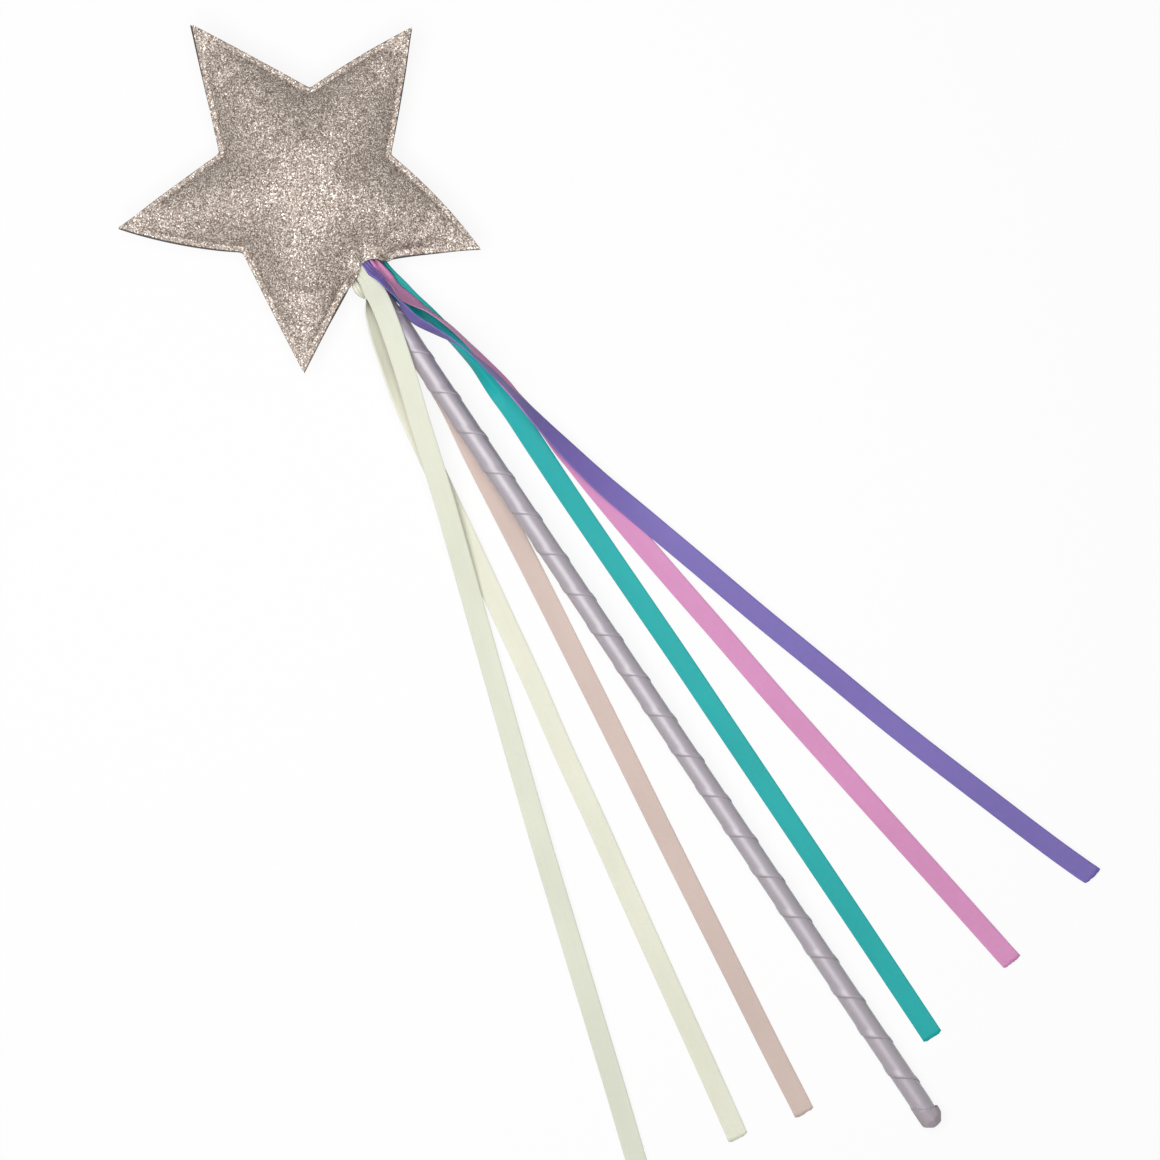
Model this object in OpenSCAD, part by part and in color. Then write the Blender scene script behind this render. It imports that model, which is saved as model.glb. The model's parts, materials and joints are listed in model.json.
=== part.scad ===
// Toy magic wand: a stuffed glitter star on a ribbon-wrapped dowel, with six loose satin ribbons.
// Lengths are in millimetres and angles in degrees. The wand lies on a table with its star face up:
// Z is up, Y runs along the shaft from the tip to the star, and the origin is under the middle.

/* [Star] */
// Distance from the star's centre to each cut tip
star_tip_r = 57.5; // [52:0.5:64]
// Distance from the star's centre to each cut notch
star_notch_r = 28; // [26:0.5:31]
// How far the middle of each cut edge bows outwards
edge_bow = 0.7; // [0.2:0.1:1.2]
// Width of the flat sewn rim outside the stitch line
rim_w = 1.7; // [1.2:0.1:2.4]
// Height of the stuffed dome above the rim, on each face
dome_h = 11.5; // [9:0.5:14]
// Thickness of the glitter fabric
fabric_t = 0.8; // [0.5:0.1:1.2]
// Depth to which the back is pressed flat where it lies on the table
rest_flat = 0.8; // [0.5:0.1:1.2]
// Distance from the star's centre to the lip of the mouth
mouth_reach = 33; // [31:0.5:36]

/* [Seam thread] */
// Width of the row of stitches
thread_w = 0.5; // [0.3:0.1:0.8]
// Height of the row of stitches above the rim
thread_h = 0.3; // [0.2:0.05:0.5]

/* [Shaft] */
// Diameter of the wooden dowel
dowel_d = 6; // [5:0.5:8]
// Length of the wooden dowel
dowel_len = 350; // [300:5:400]
// Chamfer at both ends of the dowel
dowel_chamfer = 0.4; // [0.2:0.1:0.8]
// How far the dowel's upper end stands past the star's centre
dowel_top = 6.95; // [4:0.05:12]
// Axial distance from one turn of the wrap to the next
wrap_pitch = 14.2; // [13.5:0.1:18]
// Axial gap between neighbouring turns of the wrap
wrap_gap = 0.7; // [0.65:0.05:1]
// Thickness of the wrap ribbon
wrap_t = 0.22; // [0.15:0.01:0.35]
// Length of the folded ribbon cap over the tip
cap_len = 5.2; // [4:0.1:8]
// Thickness of the cap's folded ribbon
cap_t = 0.45; // [0.35:0.05:0.6]
// Bevel round the end of the cap
cap_bevel = 0.8; // [0.4:0.1:1.2]

/* [Neck] */
// Length of the thread lashing that ties the ribbons to the shaft
lash_len = 4; // [3:0.5:6]
// Thickness of the thread lashing
lash_t = 0.7; // [0.5:0.1:1]

/* [Ribbons] */
// Full width of a loose ribbon
ribbon_w = 6.35; // [5:0.05:8]
// Width of a ribbon where it is gathered into the mouth
gather_w = 2.5; // [2:0.1:2.7]
// Thickness of a ribbon
ribbon_t = 0.25; // [0.15:0.05:0.35]

/* [Fit] */
// Clearance between fixed pieces that lie on each other
seat_gap = 0.03; // [0.01:0.01:0.1]
// Clearance round a loose ribbon and inside the star
swing_gap = 0.3; // [0.2:0.05:0.5]

/* [Hidden] */
$fn = 64;
overrun = 1;

// Shaft sizes that follow from the dowel, with its reach from the star's centre to the end of the cap
dowel_r = dowel_d / 2;
shaft_reach = dowel_len - dowel_top + cap_t;
loop_rings = 24;
wrap_in_r = (dowel_r + seat_gap) / cos(180 / loop_rings);
wrap_out_r = wrap_in_r + wrap_t;
cap_in_r = dowel_r + seat_gap;
cap_r = cap_in_r + cap_t;
root_in_r = wrap_out_r + seat_gap;
root_out_r = root_in_r + ribbon_t;
lash_in_r = root_out_r + seat_gap;
lash_out_r = lash_in_r + lash_t;

// The star's outline, anticlockwise from the right corner of the mouth
arms = 5;
arm_step = 360 / arms;
edge_steps = 5;
mouth_steps = 8;
mouth_half = lash_out_r + swing_gap;
first_tip = arm_step / 2 - 90;
cut_corners = concat(
    [[mouth_half, -mouth_reach]],
    [for (k = [0:arms - 2]) each [polar(star_tip_r, first_tip + k * arm_step),
                                  polar(star_notch_r, first_tip + (k + 0.5) * arm_step)]],
    [polar(star_tip_r, first_tip + (arms - 1) * arm_step)],
    [[-mouth_half, -mouth_reach]]
);
stitch_corners = inset(cut_corners, rim_w);
cut_loop = outline(cut_corners);
stitch_loop = outline(stitch_corners);
loop_n = len(cut_loop);
arch_r = stitch_corners[0].x;
centre_depth = depth([0, 0], stitch_corners[2], stitch_corners[3]);
dome_power = 0.75;
ring_shares = [0.2, 0.42, 0.62, 0.8, 0.93, 1];
fill_rings = len(ring_shares) - 1;

// How the wand lies: the star's back is pressed flat, and the tip cap touches the table
seam_z = dome_h + fabric_t - rest_flat;
tip_arm = shaft_reach - cap_bevel;
tilt = asin(seam_z / norm([tip_arm, cap_r])) - atan2(cap_r, tip_arm);
star_y = (shaft_reach - star_tip_r) * cos(tilt) / 2;

// The neck, where the loose ribbons start just outside the mouth, clear of it as they swing outwards
swing_out = 30;
neck_step = gather_w / 2 * sin(swing_out) + swing_gap;
neck_reach = mouth_reach + neck_step;
neck_y = star_y - neck_reach * cos(tilt);
neck_z = seam_z - neck_reach * sin(tilt);
root_r = wrap_out_r + swing_gap + ribbon_t / 2;
root_len = lash_len * 2;

// Ribbon levels: each ribbon keeps its own layer, so that none meets another as it swings
table_gap = 0.05;
layer_step = ribbon_t + swing_gap;
open_len = 16;
unroll_len = 14;
quick_rise = 4;
slow_rise = 11;
over_shaft_len = 20;
fall_len = 80;
fall_stagger = 8;
sage_crest = wrap_out_r + 2 * swing_gap;
purple_crest = wrap_out_r + 9 * swing_gap;

// Root angles round the shaft, seen from the tip with the star behind: right is 0 and up is 90
sage_angle = 105;
cream_angle = 190;
blush_angle = 270;
teal_angle = 318;
pink_angle = 10;
purple_angle = 55;

// Ribbon routes on the table: [to the right of the shaft, along it from the neck towards the tip]
sage_route = [
    [-0.3, 4], [-0.3, 8], [-0.9, 13], [-2.2, 19], [-4.1, 26], [-6.5, 34],
    [-10.2, 45], [-14.3, 58], [-18.7, 72], [-24, 88], [-30, 106], [-36.5, 126],
    [-44, 149], [-52, 174], [-60, 200], [-68, 226], [-76, 252], [-83, 274]
];
cream_route = [
    [-4.5, 3], [-5.9, 7], [-7.2, 13], [-8.5, 20], [-10.2, 27], [-11.6, 35],
    [-13, 45], [-15, 58], [-17.4, 73], [-20, 90], [-23, 109], [-26.5, 131],
    [-30.5, 153], [-34.5, 178], [-39, 204], [-43.5, 231], [-48, 258], [-52, 281]
];
blush_route = [
    [0.1, 5], [0.2, 11], [0.3, 18], [0.2, 26], [0, 36], [-0.8, 48],
    [-3, 63], [-5.1, 80], [-7.1, 97], [-9.3, 115], [-11.6, 133], [-14, 152],
    [-16.6, 172], [-19.4, 193], [-22.2, 215], [-25.2, 239], [-28.4, 264], [-31, 286]
];
teal_route = [
    [5.2, 4], [6.4, 8], [7.2, 13], [8, 20], [9.4, 27], [11.6, 35],
    [12.8, 43], [13.6, 56], [13.8, 71], [13.9, 88], [14.2, 108], [14.4, 129],
    [14.6, 150], [14.6, 173], [14.6, 197], [14.6, 222], [14.6, 248], [14.4, 288]
];
pink_route = [
    [5.2, 4], [6.2, 8], [7.2, 13], [9.4, 20], [11.8, 27], [13.8, 34],
    [15.2, 43], [17, 57], [19, 74], [21.2, 91], [23.6, 109], [26.4, 130],
    [29.2, 152], [32, 175], [35.4, 200], [39.2, 227], [43.2, 255], [47, 283]
];
purple_route = [
    [2.6, 4], [3.2, 8], [3.7, 13], [4.6, 20], [7, 26], [10.2, 32],
    [12.8, 38], [15, 47], [16.8, 58], [19.4, 73], [24, 92], [29.2, 109],
    [35.4, 130], [42, 153], [49.6, 178], [58, 206], [68, 236], [76.6, 261], [81.6, 275]
];

echo(wrap_turns = wrap_turns, wrap_least_gap = wrap_least_gap());
echo(tilt = tilt, star_y = star_y, seam_z = seam_z, cap_r = cap_r);
echo(neck_y = neck_y, neck_z = neck_z, root_r = root_r);

function polar(r, a) = [r * cos(a), r * sin(a)];
function unit(v) = v / norm(v);
function smooth(t) = let (s = min(max(t, 0), 1)) s * s * (3 - 2 * s);

// Unit vector from the edge a to b towards the inside of an anticlockwise outline
function inward(a, b) = let (u = unit(b - a)) [-u.y, u.x];

// Corners of an outline moved inwards by w, with mitred corners
function inset(corners, w) = let (n = len(corners)) [
    for (i = [0:n - 1])
        let (p = inward(corners[(i + n - 1) % n], corners[i]), q = inward(corners[i], corners[(i + 1) % n]))
            corners[i] + w * (p + q) / (1 + p * q)
];

// Points along one bowed edge, without its last corner
function edge_points(a, b) = [
    for (i = [0:edge_steps - 1])
        let (t = i / edge_steps) a + t * (b - a) - 4 * t * (1 - t) * edge_bow * inward(a, b)
];

// Points along the mouth, closer together at its corners
function mouth_points(a, b) = [
    for (i = [0:mouth_steps - 1]) a + (b - a) * (1 - cos(180 * i / mouth_steps)) / 2
];

function outline(corners) = let (last = len(corners) - 1) concat(
    [for (i = [0:last - 1]) each edge_points(corners[i], corners[i + 1])],
    mouth_points(corners[last], corners[0])
);

// How far the point p lies inside the edge from a to b
function depth(p, a, b) = max(0, (p - a) * inward(a, b));

// Height of the stuffing under the fabric: round across each arm, and level at the centre
function dome(p) =
    let (k = floor(((atan2(p.y, p.x) + 450) % 360) / arm_step),
         a = depth(p, stitch_corners[2 * k], stitch_corners[2 * k + 1]),
         b = depth(p, stitch_corners[2 * k + 1], stitch_corners[2 * k + 2]),
         v = min(1, pow(a * b / centre_depth / centre_depth, dome_power)))
        dome_h * (1 - (1 - v) * (1 - v));

// Height of the tunnel that the fabric makes over the shaft at the mouth
function arch(p) = p.y < -mouth_reach / 2 ? sqrt(max(0, arch_r * arch_r - p.x * p.x)) : 0;

// Local height of the table under the star
function table_z(y) = -(seam_z + y * sin(tilt)) / cos(tilt);

function grid_point(r, i) = r < len(ring_shares) ? ring_shares[r] * stitch_loop[i] : cut_loop[i];

// Closed solid between two height fields on the star's rings: tops and bottoms start with the centre
module star_solid(rings, tops, bottoms) {
    n = loop_n;
    side = 1 + rings * n;
    outer = 1 + (rings - 1) * n;
    polyhedron(
        points = concat(tops, bottoms),
        faces = concat(
            [for (i = [0:n - 1]) [0, 1 + (i + 1) % n, 1 + i]],
            [for (i = [0:n - 1]) [side, side + 1 + i, side + 1 + (i + 1) % n]],
            [for (r = [0:rings - 2], i = [0:n - 1])
                let (a = 1 + r * n + i, b = 1 + r * n + (i + 1) % n) each [
                    [a, b + n, a + n], [a, b, b + n],
                    [side + a, side + a + n, side + b + n], [side + a, side + b + n, side + b]
                ]],
            [for (i = [0:n - 1])
                let (a = outer + i, b = outer + (i + 1) % n) each [[a, b, side + b], [a, side + b, side + a]]]
        )
    );
}

function star_points(rings) = concat(
    [[0, 0]],
    [for (r = [0:rings - 1], i = [0:loop_n - 1]) grid_point(r, i)]
);

function lift(p) = max(dome(p), arch(p));

// Puts the wand's own frame, with the star's centre at its origin, on the table
module lay_down() {
    translate([0, star_y, seam_z])
        rotate([tilt, 0, 0])
            children();
}

// Turns a profile of [radius, distance from the star's centre towards the tip] round the shaft
module on_shaft() {
    rotate([90, 0, 0])
        rotate_extrude()
            children();
}

module star_front_panel() {
    flat = star_points(len(ring_shares) + 1);
    color([0.68, 0.63, 0.59])
        lay_down()
            star_solid(
                len(ring_shares) + 1,
                [for (p = flat) [p.x, p.y, lift(p) + fabric_t]],
                [for (p = flat) [p.x, p.y, lift(p)]]
            );
}

module star_back_panel() {
    flat = star_points(len(ring_shares) + 1);
    under = [for (p = flat) max(-lift(p) - fabric_t, table_z(p.y))];
    color([0.64, 0.59, 0.55])
        lay_down()
            star_solid(
                len(ring_shares) + 1,
                [for (i = [0:len(flat) - 1]) [flat[i].x, flat[i].y, under[i] + fabric_t]],
                [for (i = [0:len(flat) - 1]) [flat[i].x, flat[i].y, under[i]]]
            );
}

module star_filling() {
    flat = star_points(fill_rings);
    tops = [for (p = flat) max(dome(p) - swing_gap, swing_gap)];
    color([0.95, 0.95, 0.93])
        lay_down()
            difference() {
                star_solid(
                    fill_rings,
                    [for (i = [0:len(flat) - 1]) [flat[i].x, flat[i].y, tops[i]]],
                    [for (i = [0:len(flat) - 1])
                        [flat[i].x, flat[i].y, max(-tops[i], table_z(flat[i].y) + fabric_t + swing_gap)]]
                );
                on_shaft()
                    polygon([
                        [0, dowel_near - seat_gap], [wrap_out_r + seat_gap, dowel_near - seat_gap],
                        [wrap_out_r + seat_gap, root_near - swing_gap], [mouth_half, root_near - swing_gap],
                        [mouth_half, mouth_reach + overrun], [0, mouth_reach + overrun]
                    ]);
            }
}

// One row of stitches along the middle of the rim, from one corner of the mouth round to the other
module stitch_row() {
    rim_mid = [for (i = [1:loop_n - mouth_steps - 1]) (cut_loop[i] + stitch_loop[i]) / 2];
    across = [for (i = [1:loop_n - mouth_steps - 1]) unit(cut_loop[i] - stitch_loop[i]) * thread_w / 2];
    last = len(rim_mid) - 1;
    linear_extrude(thread_h)
        polygon(concat(
            [for (i = [0:last]) rim_mid[i] + across[i]],
            [for (i = [0:last]) rim_mid[last - i] - across[last - i]]
        ));
}

module seam_stitching() {
    color([0.8, 0.75, 0.7])
        lay_down() {
            translate([0, 0, fabric_t])
                stitch_row();
            translate([0, 0, -fabric_t - thread_h])
                stitch_row();
        }
}

// Distances from the star's centre, positive towards the tip
dowel_far = shaft_reach - cap_t;
dowel_near = dowel_far - dowel_len;
root_near = mouth_reach - root_len;
wrap_near = root_near - lash_len;
wrap_far = shaft_reach - cap_len - seat_gap;
wrap_w = wrap_pitch - wrap_gap;
wrap_turns = (wrap_far - wrap_near - wrap_gap) / wrap_pitch;
gap_samples = 8;

module dowel() {
    color([0.85, 0.72, 0.53])
        lay_down()
            on_shaft()
                polygon([
                    [0, dowel_near], [dowel_r - dowel_chamfer, dowel_near],
                    [dowel_r, dowel_near + dowel_chamfer], [dowel_r, dowel_far - dowel_chamfer],
                    [dowel_r - dowel_chamfer, dowel_far], [0, dowel_far]
                ]);
}

// A point of the helical wrap: turn t from its start in the star, radius r, and s across the strip.
// The last turn is cut off square where it meets the cap.
function wrap_point(t, r, s) = [
    r * cos(360 * t), -min(wrap_near + wrap_pitch * t + s, wrap_far), -r * sin(360 * t)
];

// The least gap between the edge of one turn and the near edge of the next turn
function wrap_least_gap() = min([
    for (i = [0:loop_rings - 1], j = [-gap_samples * loop_rings:gap_samples * loop_rings])
        norm(wrap_point(1 + i / loop_rings, wrap_in_r, wrap_w)
             - wrap_point(2 + (i + j / gap_samples) / loop_rings, wrap_in_r, 0))
]);

module wrap_ribbon() {
    rings = floor(wrap_turns * loop_rings);
    section = [[wrap_in_r, 0], [wrap_in_r, wrap_w], [wrap_out_r, wrap_w], [wrap_out_r, 0]];
    color([0.7, 0.67, 0.7])
        lay_down()
            polyhedron(
                points = [for (i = [0:rings]) each [for (p = section) wrap_point(i / loop_rings, p.x, p.y)]],
                faces = strip_faces(rings, len(section))
            );
}

// Triangles of a strip of rings with the given count of corners, closed at both ends. The two faces of
// the strip are split along the same diagonals, so that they keep their distance where the strip twists.
function strip_faces(rings, sides) = concat(
    [for (i = [0:rings - 1], j = [0:sides - 1])
        let (a = i * sides + j, b = i * sides + (j + 1) % sides)
            each j < sides / 2
                ? [[a, b, b + sides], [a, b + sides, a + sides]]
                : [[a, b, a + sides], [b, b + sides, a + sides]]],
    [for (j = [1:sides - 2]) [0, j + 1, j]],
    [for (j = [1:sides - 2]) [rings * sides, rings * sides + j, rings * sides + j + 1]]
);

module tip_cap() {
    color([0.66, 0.63, 0.66])
        lay_down()
            on_shaft()
                polygon([
                    [0, shaft_reach], [cap_r - cap_bevel, shaft_reach], [cap_r, shaft_reach - cap_bevel],
                    [cap_r, shaft_reach - cap_len], [cap_in_r, shaft_reach - cap_len],
                    [cap_in_r, dowel_far], [0, dowel_far]
                ]);
}

module neck_lashing() {
    color([0.9, 0.88, 0.82])
        lay_down()
            on_shaft()
                translate([lash_in_r, root_near])
                    square([lash_t, lash_len]);
}

// The gathered end of one ribbon, laid against the shaft under the lashing
module ribbon_root(angle) {
    spread = gather_w / root_in_r * 180 / PI;
    rotate([90, 0, 0])
        translate([0, 0, root_near])
            linear_extrude(root_len)
                rotate(angle - spread / 2)
                    intersection() {
                        difference() {
                            circle(root_out_r);
                            circle(root_in_r);
                        }
                        polygon([[0, 0], polar(2 * root_out_r, 0), polar(2 * root_out_r, spread)]);
                    }
}

module ribbon_roots() {
    color([0.86, 0.84, 0.84])
        lay_down()
            for (angle = [sage_angle, cream_angle, blush_angle, teal_angle, pink_angle, purple_angle])
                ribbon_root(angle);
}

// Centre height of a ribbon d along from the neck: up to its crest, then down to its layer on the table
function ribbon_z(d, angle, crest, rise, fall_from, layer) =
    let (start = root_r * sin(angle),
         high = neck_z + start + (crest - start) * smooth(d / rise),
         low = table_gap + ribbon_t / 2 + layer * layer_step,
         fall_to = over_shaft_len + fall_len + layer * fall_stagger)
        high + (low - high) * smooth((d - fall_from) / (fall_to - fall_from));

function ribbon_width(d) = gather_w + (ribbon_w - gather_w) * smooth(d / open_len);

// Roll of a ribbon about its length: against the shaft at its root, and level once it has opened
function ribbon_roll(d, angle) = (angle > 180 ? 270 - angle : 90 - angle) * (1 - smooth(d / unroll_len));

// The four corners of a ribbon at the centre c, heading along h, rolled by the angle roll
function ribbon_ring(c, h, w, roll) =
    let (side = [h.y, -h.x, 0],
         across = cos(roll) * side + [0, 0, sin(roll)],
         up = -sin(roll) * side + [0, 0, cos(roll)])
        [for (q = [[-1, -1], [1, -1], [1, 1], [-1, 1]]) c + q.x * w / 2 * across + q.y * ribbon_t / 2 * up];

module ribbon(angle, crest, rise, fall_from, layer, route) {
    path = concat([[root_r * cos(angle), 0]], route);
    last = len(path) - 1;
    rings = [
        for (i = [0:last])
            let (d = path[i].y,
                 ahead = path[min(i + 1, last)] - path[max(i - 1, 0)],
                 heading = i == 0 ? [0, -1] : unit([ahead.x, -ahead.y]))
                ribbon_ring([path[i].x, neck_y - d, ribbon_z(d, angle, crest, rise, fall_from, layer)],
                            heading, ribbon_width(d), ribbon_roll(d, angle))
    ];
    polyhedron(points = [for (ring = rings) each ring], faces = strip_faces(last, len(rings[0])));
}

// A ribbon that leaves at its root's own height and falls at once
module low_ribbon(angle, layer, route) {
    ribbon(angle, root_r * sin(angle), slow_rise, 0, layer, route);
}

module ribbon_sage() {
    color([0.82, 0.84, 0.76])
        ribbon(sage_angle, sage_crest, slow_rise, over_shaft_len, 2, sage_route);
}

module ribbon_cream() {
    color([0.92, 0.91, 0.83])
        low_ribbon(cream_angle, 1, cream_route);
}

module ribbon_blush() {
    color([0.81, 0.73, 0.69])
        low_ribbon(blush_angle, 0, blush_route);
}

module ribbon_teal() {
    color([0.16, 0.67, 0.66])
        low_ribbon(teal_angle, 0, teal_route);
}

module ribbon_pink() {
    color([0.85, 0.59, 0.76])
        low_ribbon(pink_angle, 1, pink_route);
}

module ribbon_purple() {
    color([0.5, 0.45, 0.71])
        ribbon(purple_angle, purple_crest, quick_rise, over_shaft_len, 2, purple_route);
}

star_front_panel();
star_back_panel();
star_filling();
seam_stitching();
dowel();
wrap_ribbon();
tip_cap();
neck_lashing();
ribbon_roots();
ribbon_sage();
ribbon_cream();
ribbon_blush();
ribbon_teal();
ribbon_pink();
ribbon_purple();
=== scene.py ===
# %% [markdown]
# # A toy magic wand
# A stuffed star of glitter fabric sits on a wooden dowel that is wound in lavender satin, and six loose
# satin ribbons fall from the mouth of the star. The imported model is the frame: it holds the real sizes and
# the bodies that move. This lesson dresses it, one piece at a time, without moving it.

# %% Load the frame
import bisect
import json
import math
import random

import bmesh
import bpy
from mathutils import Matrix, Vector, noise


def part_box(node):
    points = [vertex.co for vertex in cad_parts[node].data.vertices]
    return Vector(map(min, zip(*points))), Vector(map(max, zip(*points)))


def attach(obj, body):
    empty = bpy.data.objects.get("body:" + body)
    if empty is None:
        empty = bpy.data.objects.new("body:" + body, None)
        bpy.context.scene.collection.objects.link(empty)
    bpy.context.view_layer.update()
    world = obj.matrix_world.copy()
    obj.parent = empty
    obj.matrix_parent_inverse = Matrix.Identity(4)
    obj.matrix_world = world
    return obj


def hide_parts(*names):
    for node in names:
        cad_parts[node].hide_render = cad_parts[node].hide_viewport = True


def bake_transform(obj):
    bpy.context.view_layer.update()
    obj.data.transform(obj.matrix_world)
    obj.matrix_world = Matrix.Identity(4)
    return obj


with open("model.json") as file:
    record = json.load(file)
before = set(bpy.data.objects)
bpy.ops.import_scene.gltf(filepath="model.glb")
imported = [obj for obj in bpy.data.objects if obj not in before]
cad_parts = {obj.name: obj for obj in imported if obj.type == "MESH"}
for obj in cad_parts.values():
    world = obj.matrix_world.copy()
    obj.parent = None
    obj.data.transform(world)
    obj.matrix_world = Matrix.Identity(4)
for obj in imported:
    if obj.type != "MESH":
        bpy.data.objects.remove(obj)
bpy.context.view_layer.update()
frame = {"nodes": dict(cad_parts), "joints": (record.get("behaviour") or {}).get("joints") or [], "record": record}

# %% [markdown]
# ## The wand's own frame
# A maker measures a wand along its shaft, but the shaft lies at a slant, because the star is thicker than
# the tip. So the pieces are modelled in millimetres with the star's centre as the origin and the shaft along
# -Y, and one matrix lays them on the table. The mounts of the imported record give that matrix: the tip's axis
# is the shaft, and the star's centre is the point of that axis above the face that it rests on.

# %% Find the wand in the frame
MM = 0.001
mounts = {mount["name"]: mount for mount in frame["record"]["mounts"]}
tip_point = Vector(mounts["tip"]["pos_m"])
rest_point = Vector(mounts["rest"]["pos_m"])
shaft_axis = Vector(mounts["tip"]["axis"])
star_centre = tip_point - shaft_axis * ((tip_point.y - rest_point.y) / shaft_axis.y)
tilt = -math.asin(shaft_axis.z)
WAND = Matrix.Translation(star_centre) @ Matrix.Rotation(tilt, 4, "X") @ Matrix.Scale(MM, 4)
print("Star centre", [round(x / MM, 2) for x in star_centre], "mm, tilt", round(math.degrees(tilt), 2))

# %% [markdown]
# ## The camera
# The photograph looks straight down, turned so that the shaft runs from the upper left to the lower right.
# A long lens a metre and a half up keeps the perspective as weak as it is there.

# %% Place the camera
VIEW_WIDTH = 0.3515
VIEW_CENTRE = (0.0026, -0.0045)
VIEW_TURN = math.radians(-33.85)
LENS_MM = 160
SENSOR_MM = 36
camera_data = bpy.data.cameras.new("camera")
camera_data.lens = LENS_MM
camera_data.sensor_width = SENSOR_MM
camera = bpy.data.objects.new("camera", camera_data)
camera.location = (*VIEW_CENTRE, star_centre.z + VIEW_WIDTH * LENS_MM / SENSOR_MM)
camera.rotation_euler = (0, 0, VIEW_TURN)
bpy.context.scene.collection.objects.link(camera)
bpy.context.scene.camera = camera
print("Camera height", round(camera.location.z, 3), "m")

# %% [markdown]
# ## Small helpers
# Cloth has no straight lines, so much of the wand is described by short lists of pairs, such as
# how far a ribbon has rolled at each distance from the neck. `along` reads such a list as one smooth line.
# `made` turns a finished bmesh into an object whose place is in its mesh, `thicken` gives a sheet its
# thickness, and `cut_off` slices a mesh along a plane.

# %% Helpers for shapes
CUT_TOLERANCE = 1e-4


def smooth(t):
    t = min(max(t, 0.0), 1.0)
    return t * t * (3 - 2 * t)


def along(pairs, at):
    places = [pair[0] for pair in pairs]
    last = len(pairs) - 1
    if at <= places[0]:
        return pairs[0][1]
    if at >= places[-1]:
        return pairs[-1][1]
    i = bisect.bisect_right(places, at) - 1

    def slope(j):
        before, after = pairs[max(j - 1, 0)], pairs[min(j + 1, last)]
        return (after[1] - before[1]) / (after[0] - before[0])

    gap = places[i + 1] - places[i]
    t = (at - places[i]) / gap
    return (
        (2 * t**3 - 3 * t**2 + 1) * pairs[i][1]
        + (t**3 - 2 * t**2 + t) * gap * slope(i)
        + (3 * t**2 - 2 * t**3) * pairs[i + 1][1]
        + (t**3 - t**2) * gap * slope(i + 1)
    )


def made(bm, name, matrix=None):
    if matrix:
        bmesh.ops.transform(bm, matrix=matrix, verts=bm.verts)
    mesh = bpy.data.meshes.new(name)
    bm.to_mesh(mesh)
    bm.free()
    mesh.polygons.foreach_set("use_smooth", [True] * len(mesh.polygons))
    piece = bpy.data.objects.new(name, mesh)
    bpy.context.scene.collection.objects.link(piece)
    print("Made", name, "with", len(mesh.polygons), "faces")
    return piece


def thicken(piece, thickness, offset, inner_slot=0):
    wall = piece.modifiers.new("Thickness", "SOLIDIFY")
    wall.thickness = thickness * MM
    wall.offset = offset
    wall.use_even_offset = True
    wall.material_offset = inner_slot
    wall.material_offset_rim = inner_slot


def cut_off(bm, point, outward, clear=True):
    bmesh.ops.bisect_plane(
        bm,
        geom=bm.verts[:] + bm.edges[:] + bm.faces[:],
        dist=CUT_TOLERANCE,
        plane_co=point,
        plane_no=outward,
        clear_outer=clear,
    )


# %% [markdown]
# ## The six loose ribbons
# Each ribbon is 6.35 mm wide, tied to the shaft inside the star and cut off square at its far end. A limp
# strip could be simulated, but then it would not lie where the photograph shows it. So each is woven flat as
# a grid, and every point of the grid is laid along a route that was read off the photograph: sideways from
# the shaft and down from the neck, in millimetres. `roll` is how far the strip has turned about its own
# length, `fold` is the angle of a crease along its middle, and `lift` raises it where it rides on another.
# `lip` is where it passes the mouth, `gather` its width there, and `open` where it is at full width again.
# `crest` and `rise` say how high and how soon it climbs onto the bundle, `fall_from` where it starts to sink,
# `layer` which layer on the table it sinks to, and `slant` how far its cut end is out of square.

# %% Sizes and routes of the ribbons
RIBBON_W = 6.35
RIBBON_T = 0.25
GATHER_W = 2.5
OPEN_D = 16
ROOT_D = -8.9
ROOT_R = 3.62
TABLE_GAP = 0.05
LAYER_STEP = 0.55
FALL_END = 100
FALL_PER_LAYER = 8
RISE_D = 11
STRAIGHT_SHARE = 0.6
TIED_SHARE = 0.25
LEVEL = [(0, 0), (1, 0)]

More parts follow.
